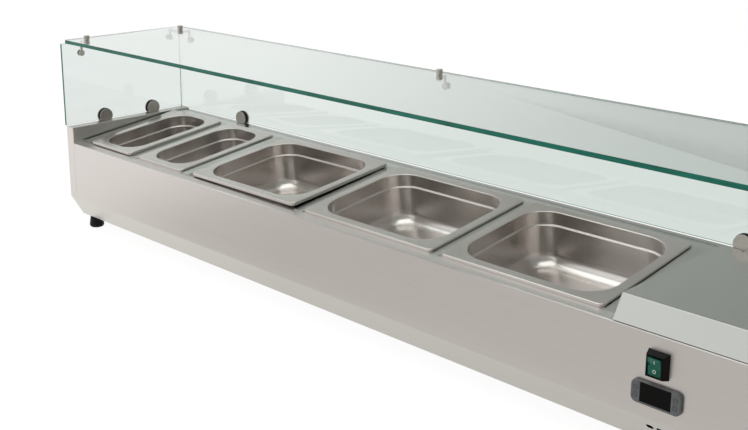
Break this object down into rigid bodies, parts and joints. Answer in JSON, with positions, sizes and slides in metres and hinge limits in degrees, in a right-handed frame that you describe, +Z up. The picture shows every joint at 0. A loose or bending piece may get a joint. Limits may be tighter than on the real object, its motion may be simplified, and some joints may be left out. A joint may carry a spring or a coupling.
{
  "type": "refrigerated topping display",
  "caption": "Long counter-top chilled display: sloping stainless deck with lift-out food pans, flat glass guard, machine compartment with rocker switch and thermostat.",
  "frame": {"origin": "on the floor plane under the middle of the whole part", "axes": "+X along the length, left to right for the operator; +Y to the customers' side at the back; +Z up"},
  "size_m": [1.807, 0.3588, 0.4651],
  "materials": {
    "panel_steel": "satin",
    "deck_steel": "satin",
    "pan_steel": "bright satin",
    "well_steel": "satin",
    "galvanised_steel": "spangled zinc",
    "foam": "open cell",
    "copper": "drawn",
    "drain_plastic": "moulded",
    "plug_rubber": "matt",
    "switch_plastic": "satin",
    "rocker_plastic": "gloss",
    "switch_marks": "printed",
    "bezel_plastic": "fine grain",
    "window_plastic": "gloss",
    "key_plastic": "fine grain",
    "float_glass": "polished",
    "glass_edge": "ground and polished",
    "clamp_metal": "satin nickel",
    "gasket_rubber": "matt",
    "foot_rubber": "matt",
    "zinc_screws": "zinc plated",
    "compressor_paint": "gloss enamel",
    "grommet_rubber": "matt",
    "relay_plastic": "moulded",
    "fin_aluminium": "mill",
    "fan_plastic": "moulded",
    "motor_metal": "cast",
    "probe_steel": "polished",
    "terminal_plastic": "moulded",
    "gland_plastic": "moulded"
  },
  "bodies": {
    "cabinet": {"front_panel": "panel_steel", "rear_panel": "deck_steel", "left_end_panel": "panel_steel", "right_end_panel": "panel_steel", "bottom_plate": "galvanised_steel", "inner_well": "well_steel", "well_insulation": "foam", "cold_coil": "copper", "drain_fitting": "drain_plastic", "partition_wall": "galvanised_steel", "compressor_cover": "deck_steel", "switch_housing": "switch_plastic", "thermostat_body": "bezel_plastic", "thermostat_window": "window_plastic", "top_glass": "float_glass", "back_glass": "float_glass", "left_end_glass": "float_glass", "right_end_glass": "float_glass", "glass_holders": "clamp_metal", "glass_holder_gaskets": "gasket_rubber", "glass_connectors": "clamp_metal", "glass_connector_caps": "clamp_metal", "compressor": "compressor_paint", "compressor_mount_plate": "galvanised_steel", "compressor_grommets": "grommet_rubber", "compressor_bolts": "zinc_screws", "compressor_relay_cover": "relay_plastic", "condenser_fins": "fin_aluminium", "condenser_tube": "copper", "fan_shroud": "galvanised_steel", "fan_motor": "motor_metal", "fan_bracket": "galvanised_steel", "discharge_pipe": "copper", "filter_drier": "copper", "liquid_pipes": "copper", "suction_pipe": "copper", "temperature_probe": "probe_steel", "terminal_box": "terminal_plastic", "cable_gland": "gland_plastic", "rubber_feet": "foot_rubber", "foot_bolts": "zinc_screws", "body_screws": "zinc_screws"},
    "pan_1": {"pan_1": "pan_steel"},
    "pan_2": {"pan_2": "pan_steel"},
    "pan_3": {"pan_3": "pan_steel"},
    "pan_4": {"pan_4": "pan_steel"},
    "pan_5": {"pan_5": "pan_steel"},
    "left_filler_bar": {"left_filler_bar": "deck_steel"},
    "bar_1_2": {"bar_1_2": "deck_steel"},
    "bar_2_3": {"bar_2_3": "deck_steel"},
    "bar_3_4": {"bar_3_4": "deck_steel"},
    "bar_4_5": {"bar_4_5": "deck_steel"},
    "right_filler_bar": {"right_filler_bar": "deck_steel"},
    "drain_plug": {"drain_plug": "plug_rubber"},
    "switch_rocker": {"switch_rocker": "rocker_plastic"},
    "thermostat_key_1": {"thermostat_key_1": "key_plastic"},
    "thermostat_key_2": {"thermostat_key_2": "key_plastic"},
    "thermostat_key_3": {"thermostat_key_3": "key_plastic"},
    "thermostat_key_4": {"thermostat_key_4": "key_plastic"},
    "fan_blade": {"fan_blade": "fan_plastic"}
  },
  "joints": [
    {"name": "pan_1_lift", "type": "slide", "parent": "cabinet", "child": "pan_1", "axis": [0, -0.1271, 0.9919], "range_m": [0, 0.13]},
    {"name": "pan_2_lift", "type": "slide", "parent": "cabinet", "child": "pan_2", "axis": [0, -0.1271, 0.9919], "range_m": [0, 0.13]},
    {"name": "pan_3_lift", "type": "slide", "parent": "cabinet", "child": "pan_3", "axis": [0, -0.1271, 0.9919], "range_m": [0, 0.13]},
    {"name": "pan_4_lift", "type": "slide", "parent": "cabinet", "child": "pan_4", "axis": [0, -0.1271, 0.9919], "range_m": [0, 0.13]},
    {"name": "pan_5_lift", "type": "slide", "parent": "cabinet", "child": "pan_5", "axis": [0, -0.1271, 0.9919], "range_m": [0, 0.13]},
    {"name": "left_filler_bar_lift", "type": "slide", "parent": "cabinet", "child": "left_filler_bar", "axis": [0, -0.1271, 0.9919], "range_m": [0, 0.06]},
    {"name": "bar_1_2_lift", "type": "slide", "parent": "cabinet", "child": "bar_1_2", "axis": [0, -0.1271, 0.9919], "range_m": [0, 0.06]},
    {"name": "bar_2_3_lift", "type": "slide", "parent": "cabinet", "child": "bar_2_3", "axis": [0, -0.1271, 0.9919], "range_m": [0, 0.06]},
    {"name": "bar_3_4_lift", "type": "slide", "parent": "cabinet", "child": "bar_3_4", "axis": [0, -0.1271, 0.9919], "range_m": [0, 0.06]},
    {"name": "bar_4_5_lift", "type": "slide", "parent": "cabinet", "child": "bar_4_5", "axis": [0, -0.1271, 0.9919], "range_m": [0, 0.06]},
    {"name": "right_filler_bar_lift", "type": "slide", "parent": "cabinet", "child": "right_filler_bar", "axis": [0, -0.1271, 0.9919], "range_m": [0, 0.06]},
    {"name": "drain_plug_pull", "type": "slide", "parent": "cabinet", "child": "drain_plug", "axis": [0, 0, 1], "range_m": [0, 0.02]},
    {"name": "rocker_tip", "type": "hinge", "parent": "cabinet", "child": "switch_rocker", "pos_m": [0.694, -0.17135, 0.1693], "axis": [-1, 0, 0], "range_deg": [0, 12]},
    {"name": "key_1_press", "type": "slide", "parent": "cabinet", "child": "thermostat_key_1", "axis": [0, 1, 0], "range_m": [0, 0.0006], "stiffness_N_per_m": 400, "springref_m": -0.0005},
    {"name": "key_2_press", "type": "slide", "parent": "cabinet", "child": "thermostat_key_2", "axis": [0, 1, 0], "range_m": [0, 0.0006], "stiffness_N_per_m": 400, "springref_m": -0.0005},
    {"name": "key_3_press", "type": "slide", "parent": "cabinet", "child": "thermostat_key_3", "axis": [0, 1, 0], "range_m": [0, 0.0006], "stiffness_N_per_m": 400, "springref_m": -0.0005},
    {"name": "key_4_press", "type": "slide", "parent": "cabinet", "child": "thermostat_key_4", "axis": [0, 1, 0], "range_m": [0, 0.0006], "stiffness_N_per_m": 400, "springref_m": -0.0005},
    {"name": "fan_spin", "type": "hinge", "parent": "cabinet", "child": "fan_blade", "pos_m": [0.815, 0.00465, 0.124], "axis": [1, 0, 0], "continuous": true}
  ]
}
